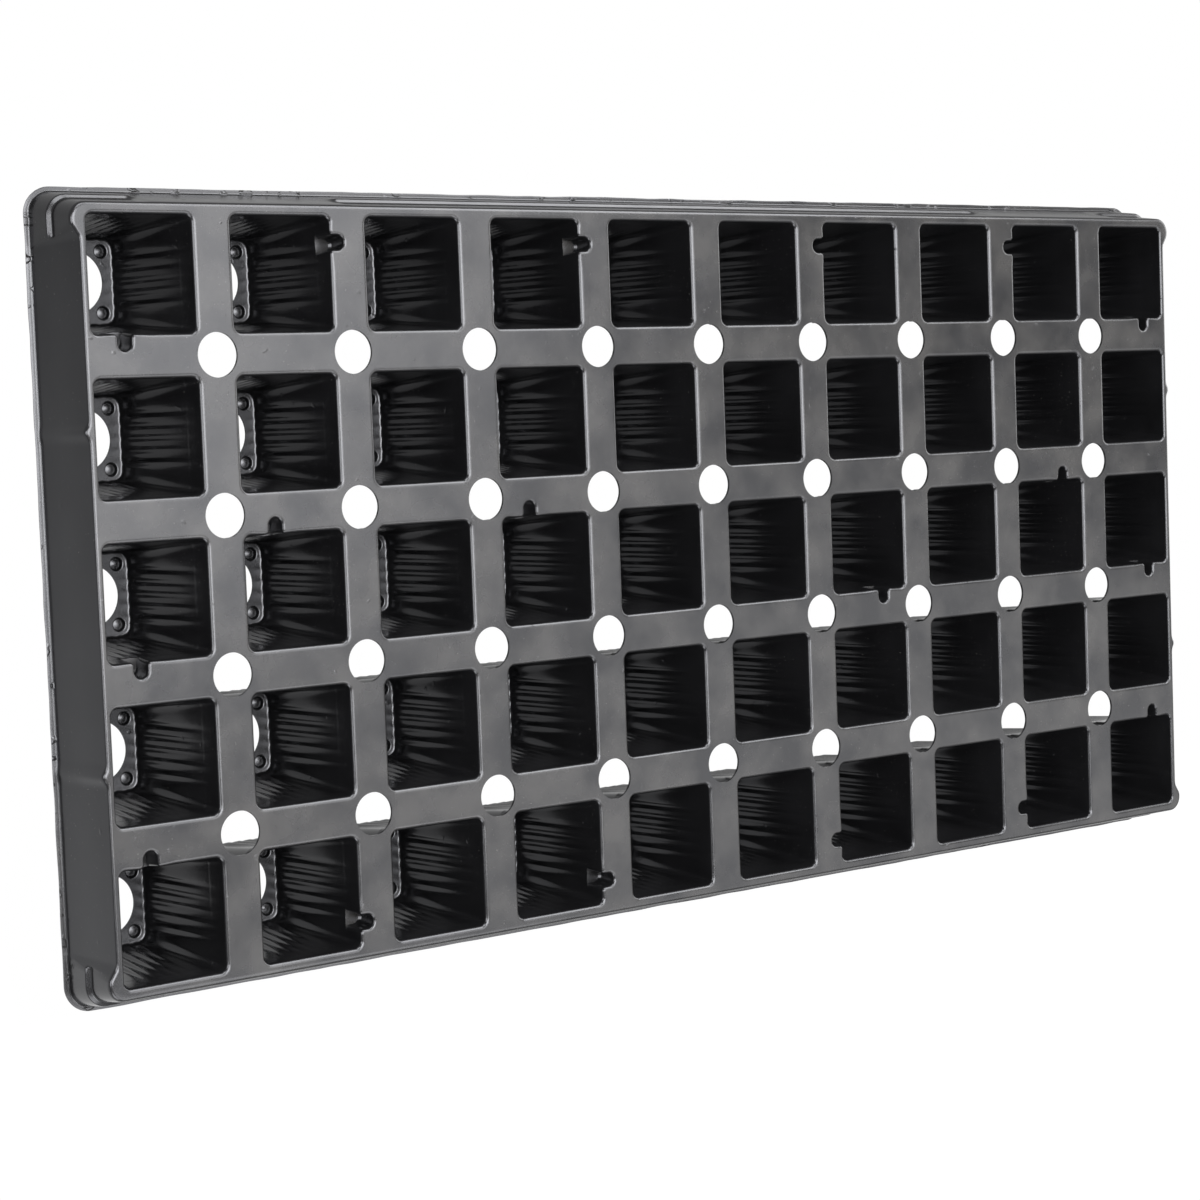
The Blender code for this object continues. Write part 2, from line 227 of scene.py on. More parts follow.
class Tray:
    """The places that every piece is built from, read off the frame."""

    def __init__(self):
        low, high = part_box("cell_r3_c5")
        middle = (low + high) / 2
        next_low, next_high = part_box("cell_r3_c6")
        self.pitch = (next_low + next_high).x / 2 - middle.x
        self.first_x = middle.x - 4 * self.pitch
        self.first_y = middle.y + 2 * self.pitch
        self.top = high.z
        self.deck_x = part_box("cell_r3_c10")[1].x + SEAM
        self.deck_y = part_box("cell_r1_c5")[1].y + SEAM
        self.rim_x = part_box("skirt_right")[1].x
        self.rim_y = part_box("skirt_back")[1].y
        self.rim_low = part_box("skirt_back")[0].z
        self.rim_top = self.rim_low + DECK_SHEET * WALL_SHARE
        self.inner_x = self.deck_x - END_EDGE
        self.inner_y = self.deck_y - SIDE_EDGE

    def cell(self, row, column):
        x = self.first_x + (column - 1) * self.pitch
        y = self.first_y - (row - 1) * self.pitch
        return Vector((x, y))


# ---------------------------------------------------------------- meshes


def add_ring(bm, points):
    """Vertices in a closed ring."""
    verts = [bm.verts.new(point) for point in points]
    for a, b in zip(verts, verts[1:] + verts[:1]):
        bm.edges.new((a, b))
    return verts


def join_rings(bm, lower, upper):
    """Quads between two anticlockwise rings, facing the middle."""
    count = len(lower)
    for i in range(count):
        j = (i + 1) % count
        bm.faces.new((lower[i], upper[i], upper[j], lower[j]))


def fill_flat(bm, *rings):
    """A flat face inside the first ring and outside the others, facing up."""
    edges = [bm.edges.get((a, b)) for ring in rings for a, b in zip(ring, ring[1:] + ring[:1])]
    made = bmesh.ops.triangle_fill(bm, use_beauty=True, edges=edges, normal=(0, 0, 1))
    faces = [item for item in made["geom"] if isinstance(item, bmesh.types.BMFace)]
    for face in faces:
        face.normal_update()
        if face.normal.z < 0:
            face.normal_flip()


def circle(middle, radius, steps):
    turns = [math.tau * (i + 0.5) / steps for i in range(steps)]
    return [middle + radius * Vector((math.cos(a), math.sin(a))) for a in turns]


def arc(middle, radius, start, end, steps):
    angles = [lerp(start, end, i / steps) for i in range(steps + 1)]
    return [middle + radius * Vector((math.cos(a), math.sin(a))) for a in angles]


def at_height(points, z):
    return [(point.x, point.y, z) for point in points]


def thicken(bm, name, top, even):
    """Turns a skin into a closed sheet below and outside it, thinner down the drawn walls."""
    mesh = bpy.data.meshes.new(name)
    skin = bpy.data.objects.new(name, mesh)
    skin.vertex_groups.new(name="sheet")
    layer = bm.verts.layers.deform.verify()
    for vert in bm.verts:
        vert[layer][0] = lerp(1.0, WALL_SHARE, ease(top - vert.co.z, 0.0, THIN_BY))
    bm.to_mesh(mesh)
    bm.free()
    bpy.context.scene.collection.objects.link(skin)
    solidify = skin.modifiers.new("sheet", "SOLIDIFY")
    solidify.thickness = DECK_SHEET
    solidify.offset = -1.0
    solidify.use_even_offset = even
    solidify.use_quality_normals = True
    solidify.vertex_group = "sheet"
    graph = bpy.context.evaluated_depsgraph_get()
    sheet = bpy.data.meshes.new_from_object(skin.evaluated_get(graph))
    bpy.data.objects.remove(skin)
    bpy.data.meshes.remove(mesh)
    sheet.shade_smooth()
    sheet.set_sharp_from_angle(angle=SMOOTH_ANGLE)
    return sheet


def add_piece(name, mesh, material, node, location=(0.0, 0.0, 0.0)):
    mesh.name = name
    mesh.materials.clear()
    mesh.materials.append(material)
    piece = bpy.data.objects.new(name, mesh)
    piece.location = location
    bpy.context.scene.collection.objects.link(piece)
    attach(piece, BODY)
    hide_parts(node)
    return piece


# ---------------------------------------------------------------- a cell


class Stop:
    """One of the places round a cell that each of its rings passes through. Along a straight side
    it is the sum of a fixed part, a share of a groove's width and a share of the side's length."""

    def __init__(self, side, lip, fixed=0.0, widths=0.0, lengths=0.0, turn=None, slot=None):
        self.side = side
        self.lip = lip
        self.fixed = fixed
        self.widths = widths
        self.lengths = lengths
        self.turn = turn  # or how far round the corner that follows the side
        self.slot = slot  # (along, out, way into the deck) in the plan of a notch

    def along(self, height):
        from_middle = self.fixed + self.widths * groove_width(height)
        return from_middle + self.lengths * straight_half(height)


def straight_half(height):
    """Half the straight part of a side, at a height up the wall from 0 to 1."""
    return lerp(FLOOR_HALF - FLOOR_CORNER, WALL_TOP_HALF - WALL_TOP_CORNER, height)


def groove_width(height):
    return lerp(GROOVE_FLOOR_WIDTH, GROOVE_MOUTH_WIDTH, height)


def groove_depth(height):
    closed = lerp(GROOVE_FOOT_DEPTH, GROOVE_DEPTH, ease(height, 0.0, GROOVE_DEEPEST))
    return closed * share(height, GROOVE_TOP, GROOVE_DEEPEST)


def groove_back(along, height):
    """How far the wall stands back at a place in its grooves."""
    nearest = round(along / GROOVE_SPACING)
    if abs(nearest) > GROOVES // 2:
        return 0.0
    across = (along - nearest * GROOVE_SPACING) / groove_width(height)
    if abs(across) >= 0.5:
        return 0.0
    return groove_depth(height) * (0.5 + 0.5 * math.cos(math.tau * across))


def grooved_side(side, lip):
    """The stops along a straight side, gathered at its grooves."""
    stops = []
    outermost = GROOVES // 2
    end = outermost * GROOVE_SPACING
    for groove in range(-outermost, outermost + 1):
        middle = groove * GROOVE_SPACING
        for i in range(GROOVE_STEPS + 1):
            stops.append(Stop(side, lip, fixed=middle, widths=i / GROOVE_STEPS - 0.5))
        if groove < outermost:
            for i in range(1, PANEL_STEPS + 1):
                q = i / (PANEL_STEPS + 1)
                stops.append(Stop(side, lip, fixed=middle + q * GROOVE_SPACING, widths=0.5 - q))
    for i in range(1, OUTER_STEPS + 1):
        q = i / OUTER_STEPS
        stops.append(Stop(side, lip, end * (1 - q), 0.5 * (1 - q), q))
        stops.insert(0, Stop(side, lip, -end * (1 - q), -0.5 * (1 - q), -q))
    return stops


def slotted_side(side, lip, slot_at):
    """The stops along a straight side with a notch in it."""
    half = WALL_TOP_HALF - WALL_TOP_CORNER
    plan = slot_plan(slot_at)
    first, last = plan[0][0], plan[-1][0]
    count = round(2 * half / SLOTTED_SIDE_STEP)
    places = [lerp(-half, half, i / count) for i in range(count + 1)]
    stops = []
    for place in places:
        away = abs(place - slot_at) - SLOT_HALF - SLOT_SHOULDER
        if away > SLOTTED_SIDE_STEP / 2:
            near_lip = lerp(SLOT_LIP, lip, ease(away, 0.0, SLOT_EASE))
            stops.append(Stop(side, near_lip, lengths=place / half))
    notch = []
    for i, place in enumerate(plan):
        low = lerp(first, last, i / (len(plan) - 1))
        notch.append(Stop(side, SLOT_LIP, lengths=low / half, slot=place))
    before = [stop for stop in stops if stop.lengths * half < slot_at]
    return before + notch + stops[len(before) :]


def slot_plan(slot_at):
    """A notch in plan: (along, out from the mouth's wall, way into the deck) from one side of it
    to the other. Its two outer corners and its tip are rounded."""
    reach = SLOT_TIP - WALL_TOP_HALF
    half_plan = []
    corner = Vector((SLOT_HALF + SLOT_SHOULDER, SLOT_SHOULDER))
    for i in range(SLOT_STEPS + 1):
        angle = math.radians(90) * i / SLOT_STEPS
        way = Vector((math.sin(angle), math.cos(angle)))
        place = corner - SLOT_SHOULDER * way
        half_plan.append((place.x, place.y, way))
    tip = Vector((0.0, reach - SLOT_HALF))
    for i in range(SLOT_STEPS + 2):
        angle = math.radians(90) * i / (SLOT_STEPS + 1)
        way = Vector((math.cos(angle), math.sin(angle)))
        place = tip + SLOT_HALF * way
        half_plan.append((place.x, place.y, way))
    left = [(slot_at - x, out, Vector((-way.x, way.y))) for x, out, way in half_plan]
    right = [(slot_at + x, out, way) for x, out, way in half_plan]
    return left + right[-2::-1]


def cell_stops(slot, lips):
    """All the stops of a ring, anticlockwise from the east side."""
    stops = []
    for side, direction in enumerate(SIDES):
        if slot and slot[0] == side:
            across = Vector((-direction.y, direction.x))
            stops += slotted_side(side, lips[side], slot[1] * (across.x + across.y))
        else:
            stops += grooved_side(side, lips[side])
        for i in range(1, CORNER_STEPS):
            turn = i / CORNER_STEPS
            stops.append(Stop(side, lerp(lips[side], lips[(side + 1) % 4], turn), turn=turn))
    return stops


def wall_place(stop, height, slotted):
    """A stop's place in plan at a height up the wall, and the way out from the cell there."""
    direction = SIDES[stop.side]
    across = Vector((-direction.y, direction.x))
    half = lerp(FLOOR_HALF, WALL_TOP_HALF, height)
    corner = lerp(FLOOR_CORNER, WALL_TOP_CORNER, height)
    if stop.turn is not None:
        angle = math.radians(90) * stop.turn
        way = direction * math.cos(angle) + across * math.sin(angle)
        return (direction + across) * (half - corner) + way * corner, way
    if slotted and stop.slot:
        along, out, way = stop.slot
        lean = (WALL_TOP_HALF - half) * share(out, 0.0, SLOT_SHOULDER)
        along *= straight_half(height) / straight_half(1.0)
        place = direction * (half + lean + out) + across * along
        return place, across * way.x + direction * way.y
    along = stop.along(height)
    half += groove_back(along, height)
    return direction * half + across * along, direction


def floor_rings(stops):
    """The fillet between the floor and the wall, from the floor up."""
    rings = []
    for i in range(FLOOR_FILLET_STEPS, 0, -1):
        angle = math.radians(90) * i / FLOOR_FILLET_STEPS
        inward = FLOOR_FILLET * (1.0 - math.cos(angle))
        z = FLOOR_TOP + FLOOR_FILLET * (1.0 - math.sin(angle))
        rings.append(ring_of(stops, 0.0, False, -inward, z))
    flat = ring_of(stops, 0.0, False, -FLOOR_FILLET - FLAT_EDGE, FLOOR_TOP)
    return [flat, *rings]


def ring_of(stops, height, slotted, out, z):
    ring = []
    for stop in stops:
        place, way = wall_place(stop, height, slotted)
        place = place + way * out
        ring.append((place.x, place.y, z))
    return ring


def wall_rings(stops, top):
    """The rings up the wall, from the top of the floor's fillet to the foot of the lip."""
    bottom = FLOOR_TOP + FLOOR_FILLET
    wall_top = top - LIP_RADIUS

    def ring_at(height, slotted):
        return ring_of(stops, height, slotted, 0.0, lerp(bottom, wall_top, height))

    shelf = share(top - SLOT_DEPTH, bottom, wall_top)
    step = SHELF_BEND / (wall_top - bottom)
    plain = (*WALL_LEVELS, shelf - 2.5 * step, shelf - step)
    notched = (shelf + step, shelf + 3 * step, lerp(shelf, 1.0, 0.5), 1.0)
    return [
        *[ring_at(height, False) for height in plain],
        shelf_ring(stops, shelf, lerp(bottom, wall_top, shelf)),
        *[ring_at(height, True) for height in notched],
    ]


def shelf_ring(stops, height, z):
    """The ring along the outer part of a notch's shelf, a little in from its walls."""
    ring = []
    for stop in stops:
        low, _ = wall_place(stop, height, False)
        high, _ = wall_place(stop, height, True)
        place = low.lerp(high, SHELF_REACH)
        ring.append((place.x, place.y, z - SHELF_SINK))
    return ring


def lip_rings(stops, top):
    """The rounded lip of the mouth, up to a narrow flat edge in the deck."""
    rings = []
    for i in range(1, LIP_STEPS + 1):
        angle = math.radians(90) * i / LIP_STEPS
        ring = []
        for stop in stops:
            place, way = wall_place(stop, 1.0, True)
            place = place + way * stop.lip * (1.0 - math.cos(angle))
            ring.append((place.x, place.y, top - stop.lip * (1.0 - math.sin(angle))))
        rings.append(ring)
    edge = []
    for stop in stops:
        place, way = wall_place(stop, 1.0, True)
        place = place + way * (stop.lip + FLAT_EDGE)
        edge.append((place.x, place.y, top))
    return [*rings, edge]


def add_cup(bm, middle):
    """The recess over a foot: a rounded edge, a short wall and a slightly domed bottom. Returns
    the ring that lies in the floor."""
    profile = [
        (CUP_RADIUS + CUP_LIP + FLAT_EDGE / 2, FLOOR_TOP),
        (CUP_RADIUS + CUP_LIP, FLOOR_TOP),
        (CUP_RADIUS + CUP_LIP * 0.3, FLOOR_TOP - CUP_LIP * 0.3),
        (CUP_RADIUS, FLOOR_TOP - CUP_LIP),
        (CUP_RADIUS - 0.15 * MM, CUP_FLOOR + 0.35 * MM),
        (CUP_RADIUS - 0.5 * MM, CUP_FLOOR),
        (CUP_RADIUS * 0.55, CUP_FLOOR + CUP_DOME * 0.35),
        (CUP_RADIUS * 0.25, CUP_FLOOR + CUP_DOME),
    ]
    rings = [add_ring(bm, at_height(circle(middle, radius, CUP_STEPS), z)) for radius, z in profile]
    for outer, inner in zip(rings, rings[1:]):
        join_rings(bm, inner, outer)
    bm.faces.new(rings[-1])
    return rings[0]


def hole_corner(pitch, quadrant):
    """A quarter of an air hole at a tile's corner, anticlockwise round the tile."""
    start = math.atan2(quadrant.y, quadrant.x) - math.radians(135)
    return arc(quadrant * pitch / 2, HOLE_RADIUS, start, start - math.radians(90), HOLE_STEPS)


def tile_outline(tray, row, column):
    """The border of a cell's square of deck about the cell's middle, anticlockwise."""
    middle = tray.cell(row, column)
    half = tray.pitch / 2
    outline = []
    for quadrant in QUADRANTS:
        at_end = column == (COLUMNS if quadrant.x > 0 else 1)
        at_side = row == (1 if quadrant.y > 0 else ROWS)
        reach_x = tray.inner_x - abs(middle.x) if at_end else half
        reach_y = tray.inner_y - abs(middle.y) if at_side else half
        if at_end and at_side:
            centre = quadrant * Vector((reach_x - EDGE_CORNER, reach_y - EDGE_CORNER))
            start = math.atan2(quadrant.y, quadrant.x) - math.radians(45)
            outline += arc(centre, EDGE_CORNER, start, start + math.radians(90), CORNER_STEPS)
        elif at_end or at_side:
            outline.append(Vector((quadrant.x * reach_x, quadrant.y * reach_y)))
        else:
            outline += hole_corner(tray.pitch, quadrant)
    return outline


def cell_skin(tray, outline, slot, lips):
    bm = bmesh.new()
    stops = cell_stops(slot, lips)
    rings = floor_rings(stops) + wall_rings(stops, tray.top) + lip_rings(stops, tray.top)
    made = [add_ring(bm, ring) for ring in rings]
    for lower, upper in zip(made, made[1:]):
        join_rings(bm, lower, upper)
    drain = add_ring(bm, at_height(circle(Vector((0, 0)), DRAIN_RADIUS, DRAIN_STEPS), FLOOR_TOP))
    cups = [add_cup(bm, Vector((x, y)) * CUP_OFFSET) for x in (-1, 1) for y in (-1, 1)]
    border = add_ring(bm, at_height(outline, tray.top))
    fill_flat(bm, made[0], drain, *cups)
    fill_flat(bm, border, made[-1])
    return bm


def build_cells(tray, material):
    """The fifty cells. Those with the same border and notch are made once and copied."""
    made = {}
    for row in range(1, ROWS + 1):
        for column in range(1, COLUMNS + 1):
            slot = SLOTS.get((row, column))
            place = (row if row in (1, ROWS) else 0, column if column in (1, COLUMNS) else 0)
            if (place, slot) not in made:
                lips = [LIP_RADIUS] * 4
                if column == COLUMNS:
                    lips[EAST] = END_LIP_RADIUS
                if column == 1:
                    lips[WEST] = END_LIP_RADIUS
                bm = cell_skin(tray, tile_outline(tray, row, column), slot, lips)
                made[place, slot] = thicken(bm, "cell_skin", tray.top, even=True)
            node = f"cell_r{row}_c{column}"
            middle = tray.cell(row, column)
            mesh = made[place, slot].copy()
            add_piece("moulded_" + node, mesh, material, node, (middle.x, middle.y, 0.0))
    for mesh in made.values():
        bpy.data.meshes.remove(mesh)


# ---------------------------------------------------------------- the skirt


def bend(before, corner, after, setback, steps=BEND_STEPS):
    """Points round a corner, starting and ending no more than the setback away from it."""
    start = corner + clipped(before - corner, setback)
    end = corner + clipped(after - corner, setback)
    points = []
    for i in range(steps + 1):
        t = i / steps
        points.append(start.lerp(corner, t).lerp(corner.lerp(end, t), t))
    return points


def clipped(way, length):
    return way * min(MOST, length / way.length)


def skirt_line(tray, inner, edge, foot, rim, out, ledge):
    """The outside of the skirt at one station, from the deck down to the edge of the rim.
    ledge is from 0, a plain slope, to 1, a full step."""
    drop = tray.top - tray.rim_top
    middle = edge.lerp(foot, (LEDGE_DEPTH + LEDGE_DROP / 2) / drop)
    half_drop = lerp(PLAIN_BEND, LEDGE_DROP / 2, ledge)
    slope = (foot - edge) * (half_drop / drop)
    half_step = slope.lerp(out * (LEDGE_STEP / 2), ledge)
    step_z = tray.top - LEDGE_DEPTH - LEDGE_DROP / 2
    start = Vector((*inner, tray.top))
    corner = Vector((*edge, tray.top))
    step_top = Vector((*(middle - half_step), step_z + half_drop))
    step_end = Vector((*(middle + half_step), step_z - half_drop))
    low = Vector((*foot, tray.rim_top))
    lip = Vector((*rim, tray.rim_top))
    flat = start.lerp(corner, 0.1)
    tip = lip + Vector((0.0, 0.0, -RIM_DROOP))
    return [
        start,
        flat,
        *bend(flat, corner, step_top, min(EDGE_SETBACK, MOST * (corner - flat).length)),
        *bend(corner, step_top, step_end, LEDGE_SETBACK),
        *bend(step_top, step_end, low, LEDGE_SETBACK),
        *bend(step_end, low, lip, FOOT_SETBACK),
        lip.lerp(low, 0.35),
        tip,
    ]


def rim_wander(point):
    """The trimmed rim isn't quite straight."""
    return RIM_WANDER * noise.noise(Vector((point.x, point.y, 0.0)) * RIM_WANDER_SCALE)


def rib_at(y):
    """How far a short side's stiffening ribs stand out at y."""

    def bump(at):
        return RIB_HEIGHT * (1.0 - share(abs(abs(at) - RIB_Y), 0.0, RIB_HALF_WIDTH))

    return softened(bump, y)


def short_station(tray, y):
    """A station on the straight part of the short side at +X."""
    rib = rib_at(y)
    return (
        Vector((tray.inner_x, y)),
        Vector((tray.deck_x + rib, y)),
        Vector((tray.rim_x - RIM_WIDTH + rib * RIB_FOOT_SHARE, y)),
        Vector((tray.rim_x, y)),
        Vector((1.0, 0.0)),
        0.0,
    )


def long_station(tray, x):
    """A station on the long side at +Y. Near the corner the deck's border lags behind its edge."""
    corner = ease(abs(x), CORNER_LEDGE_END - LEDGE_FADE, CORNER_LEDGE_END)
    middle = 1.0 - ease(abs(x), MIDDLE_LEDGE_END - LEDGE_FADE, MIDDLE_LEDGE_END)
    arc_x = tray.deck_x + FLARE - CORNER_RADIUS
    lag = (arc_x - tray.inner_x + EDGE_CORNER) * share(abs(x), CORNER_LEDGE_END, arc_x)
    inner_x = x - math.copysign(lag, x)
    return (
        Vector((inner_x, tray.inner_y)),
        Vector((x, tray.deck_y)),
        Vector((x, tray.rim_y - RIM_WIDTH)),
        Vector((x, tray.rim_y)),
        Vector((0.0, 1.0)),
        max(corner, middle),
    )


def steps_between(start, end, spacing):
    count = max(1, round(abs(end - start) / spacing))
    return [lerp(start, end, i / count) for i in range(count)]


def short_stops():
    """Places along a short side, closer together at its ribs."""
    near = RIB_HALF_WIDTH + RIB_MARGIN
    marks = [-SIDE_END_Y, -RIB_Y - near, -RIB_Y + near]
    marks += [-mark for mark in reversed(marks)]
    stops = []
    for i, (start, end) in enumerate(zip(marks, marks[1:])):
        stops += steps_between(start, end, RIB_STEP if i % 2 else SHORT_STEP)
    return [*stops, SIDE_END_Y]


def long_stops():
    """Places along a long side, closer together where the ledge fades out."""
    fade_start = MIDDLE_LEDGE_END - LEDGE_FADE - FADE_MARGIN
    fade_end = MIDDLE_LEDGE_END + FADE_MARGIN
    marks = [-SIDE_END_X, -fade_end, -fade_start]
    marks += [-mark for mark in reversed(marks)]
    stops = []
    for i, (start, end) in enumerate(zip(marks, marks[1:])):
        stops += steps_between(start, end, FADE_STEP if i % 2 else LONG_STEP)
    return [*stops, SIDE_END_X]


def corner_path(limit_x, limit_y, radius):
    """A quarter turn inside the corner of a rectangle that reaches limit_x and limit_y."""
    middle = Vector((limit_x - radius, limit_y - radius))
    return arc(middle, radius, 0.0, math.radians(90), 2 * CORNER_STEPS)


def corner_stations(tray):
    """The stations of the corner at +X, +Y, from the short side round to the long side."""
    stations = []
    marks = (
        (SIDE_END_Y, SIDE_END_Y),
        (FLARE_START, FLARE_FOOT_START),
        (FLARE_END, FLARE_FOOT_END),
        (tray.deck_y - CORNER_RADIUS, tray.rim_y - RIM_CORNER),
    )
    for (top, foot), (next_top, next_foot) in zip(marks, marks[1:]):
        for y in steps_between(top, next_top, FLARE_STEP):
            foot_y = lerp(foot, next_foot, share(y, top, next_top))
            stations.append(flared_station(tray, y, foot_y))
    inners = corner_path(tray.inner_x, tray.inner_y, EDGE_CORNER)
    edges = corner_path(tray.deck_x + FLARE, tray.deck_y, CORNER_RADIUS)
    feet = corner_path(tray.rim_x - RIM_WIDTH, tray.rim_y - RIM_WIDTH, RIM_CORNER - RIM_WIDTH)
    rims = corner_path(tray.rim_x, tray.rim_y, RIM_CORNER)
    outs = arc(Vector((0, 0)), 1.0, 0.0, math.radians(90), 2 * CORNER_STEPS)
    stations += [(*places, 1.0) for places in zip(inners, edges, feet, rims, outs)]
    turned = tray.deck_x + FLARE - CORNER_RADIUS
    ledge_end = CORNER_LEDGE_END + FADE_MARGIN
    plain = CORNER_LEDGE_END - LEDGE_FADE - FADE_MARGIN
    stops = [
        *steps_between(turned, ledge_end, CORNER_STEP)[1:],
        *steps_between(ledge_end, plain, FADE_STEP),
        *steps_between(plain, SIDE_END_X, CORNER_STEP),
        SIDE_END_X,
    ]
    return stations + [long_station(tray, x) for x in stops]


def flared_station(tray, y, foot_y):
    """A station where the short side flares out into the corner. Its foot keeps to its own place,
    so the flare narrows downwards."""
    flare = FLARE * softened(lambda at: share(at, FLARE_START, FLARE_END), y)
    return (
        Vector((tray.inner_x, y)),
        Vector((tray.deck_x + flare, y)),
        Vector((tray.rim_x - RIM_WIDTH, foot_y)),
        Vector((tray.rim_x, foot_y)),
        Vector((1.0, 0.0)),
        ease(y, lerp(FLARE_START, FLARE_END, LEDGE_ON_FLARE), FLARE_END),
    )


def skirt_skin(tray, stations, side_x, side_y):
    """The outside of one piece of the skirt, mirrored into the quadrant side_x, side_y."""
    bm = bmesh.new()
    lines = []
    for inner, edge, foot, rim, out, ledge in stations:
        rim = rim + out * rim_wander(Vector((side_x * rim.x, side_y * rim.y)))
        line = skirt_line(tray, inner, edge, foot, rim, out, ledge)
        lines.append([bm.verts.new((side_x * p.x, side_y * p.y, p.z)) for p in line])
    for line, following in zip(lines, lines[1:]):
        for i in range(len(line) - 1):
            corners = (line[i], line[i + 1], following[i + 1], following[i])
            bm.faces.new(corners if side_x * side_y > 0 else corners[::-1])
    return bm


def build_skirt(tray, name, stations, side_x, side_y, material):
    bm = skirt_skin(tray, stations, side_x, side_y)
    sheet = thicken(bm, name, tray.top, even=False)
    add_piece("moulded_" + name, sheet, material, name)


def build_skirts(tray, material):
    short = [short_station(tray, y) for y in short_stops()]
    long = [long_station(tray, x) for x in reversed(long_stops())]
    corner = corner_stations(tray)
    for side, word in ((-1, "left"), (1, "right")):
        build_skirt(tray, "skirt_" + word, short, side, 1, material)
    for side, word in ((-1, "front"), (1, "back")):
        build_skirt(tray, "skirt_" + word, long, 1, side, material)
        build_skirt(tray, f"corner_{word}_left", corner, -1, side, material)
        build_skirt(tray, f"corner_{word}_right", corner, 1, side, material)


# ---------------------------------------------------------------- shader nodes


def calculate(tree, operation, *values):
    node = tree.nodes.new("ShaderNodeMath")
    node.operation = operation
    for socket, value in zip(node.inputs, values):
        if isinstance(value, float):
            socket.default_value = value
        else:
            tree.links.new(value, socket)
    return node.outputs["Value"]


def remap(tree, value, from_low, from_high, to_low, to_high):
    node = tree.nodes.new("ShaderNodeMapRange")
    for name, number in zip(
        ("From Min", "From Max", "To Min", "To Max"), (from_low, from_high, to_low, to_high)
    ):
        node.inputs[name].default_value = number
    tree.links.new(value, node.inputs["Value"])
    return node.outputs["Result"]


def split(tree, vector):
    node = tree.nodes.new("ShaderNodeSeparateXYZ")
    tree.links.new(vector, node.inputs["Vector"])
    return node.outputs


def past_rim(tree, place, tray):
    """How far a place is beyond the edge of the rim, in plan."""
    at = split(tree, place)
    past_end = calculate(tree, "SUBTRACT", calculate(tree, "ABSOLUTE", at["X"]), tray.rim_x)
    past_side = calculate(tree, "SUBTRACT", calculate(tree, "ABSOLUTE", at["Y"]), tray.rim_y)
    return calculate(tree, "MAXIMUM", past_end, past_side)


def noise_at(tree, place, scale, detail, low, high, to_low=0.0, to_high=1.0):
    """Noise in space, stretched so that what is between low and high fills the new span."""
    node = tree.nodes.new("ShaderNodeTexNoise")
    node.inputs["Scale"].default_value = scale
    node.inputs["Detail"].default_value = detail
    tree.links.new(place, node.inputs["Vector"])
    return remap(tree, node.outputs["Fac"], low, high, to_low, to_high)


def blend(tree, factor, a, b):
    node = tree.nodes.new("ShaderNodeMix")
    node.data_type = "RGBA"
    tree.links.new(factor, node.inputs["Factor"])
    sockets = [socket for socket in node.inputs if socket.type == "RGBA"]
    for socket, value in zip(sockets, (a, b)):
        if isinstance(value, tuple):
            socket.default_value = value
        else:
            tree.links.new(value, socket)
    return next(socket for socket in node.outputs if socket.type == "RGBA")


def bump(tree, height, strength, distance, below=None):
    node = tree.nodes.new("ShaderNodeBump")
    node.inputs["Strength"].default_value = strength
    node.inputs["Distance"].default_value = distance
    tree.links.new(height, node.inputs["Height"])
    if below:
        tree.links.new(below, node.inputs["Normal"])
    return node.outputs["Normal"]


# ---------------------------------------------------------------- material


BLACK = (0.0035, 0.0035, 0.0038, 1.0)
GREYER_BLACK = (0.0055, 0.0055, 0.006, 1.0)
DUSTY_BLACK = (0.024, 0.023, 0.022, 1.0)
DUST = (0.09, 0.087, 0.082, 1.0)
SHEEN = (0.94, 0.95, 1.0, 1.0)  # the tint of what it reflects
INDEX = 1.56  # of refraction, for polystyrene
LEVEL_FROM, LEVEL_TO = 0.7, 0.97  # how upright the surface's normal is where dust lies
FILM_SHARE_IN_CELL_SHADE = 0.3  # the share of the deck's film kept at the height of the cells' floors; the thinner film there is painted shade
DUSTY_ROUGHNESS = 0.07  # added where dust lies
NICKED_EDGE = 1.9 * MM, 1.2 * MM  # in from the rim's edge, where the nicks begin and are full

# Noise: scale, detail, the span of it that is used and, where it isn't 0 to 1, what that becomes
MOTTLE = (38, 4, 0.35, 0.65)
FILM = (55, 6, 0.35, 0.68, 0.1)
SPECKS = (1500, 1, 0.73, 0.79)
SPECKLED = (16, 3, 0.45, 0.7, 0.15, 0.8)
ROUGHNESS = (60, 5, 0.3, 0.7, 0.165, 0.215)
NICKED = (23, 1, 0.42, 0.55)
NICKS = (170, 2, 0.6, 0.66)
# and for relief, its strength and height too
WAVES = (45, 1, 0.0, 1.0), 0.2, 0.6 * MM
PEEL = (420, 2, 0.0, 1.0), 0.2, 0.06 * MM
PIMPLES = (260, 1, 0.74, 0.8), 0.8, 0.12 * MM
GRAIN = (2600, 2, 0.0, 1.0), 0.15, 0.05 * MM
NICK_DEPTH = 0.6 * MM


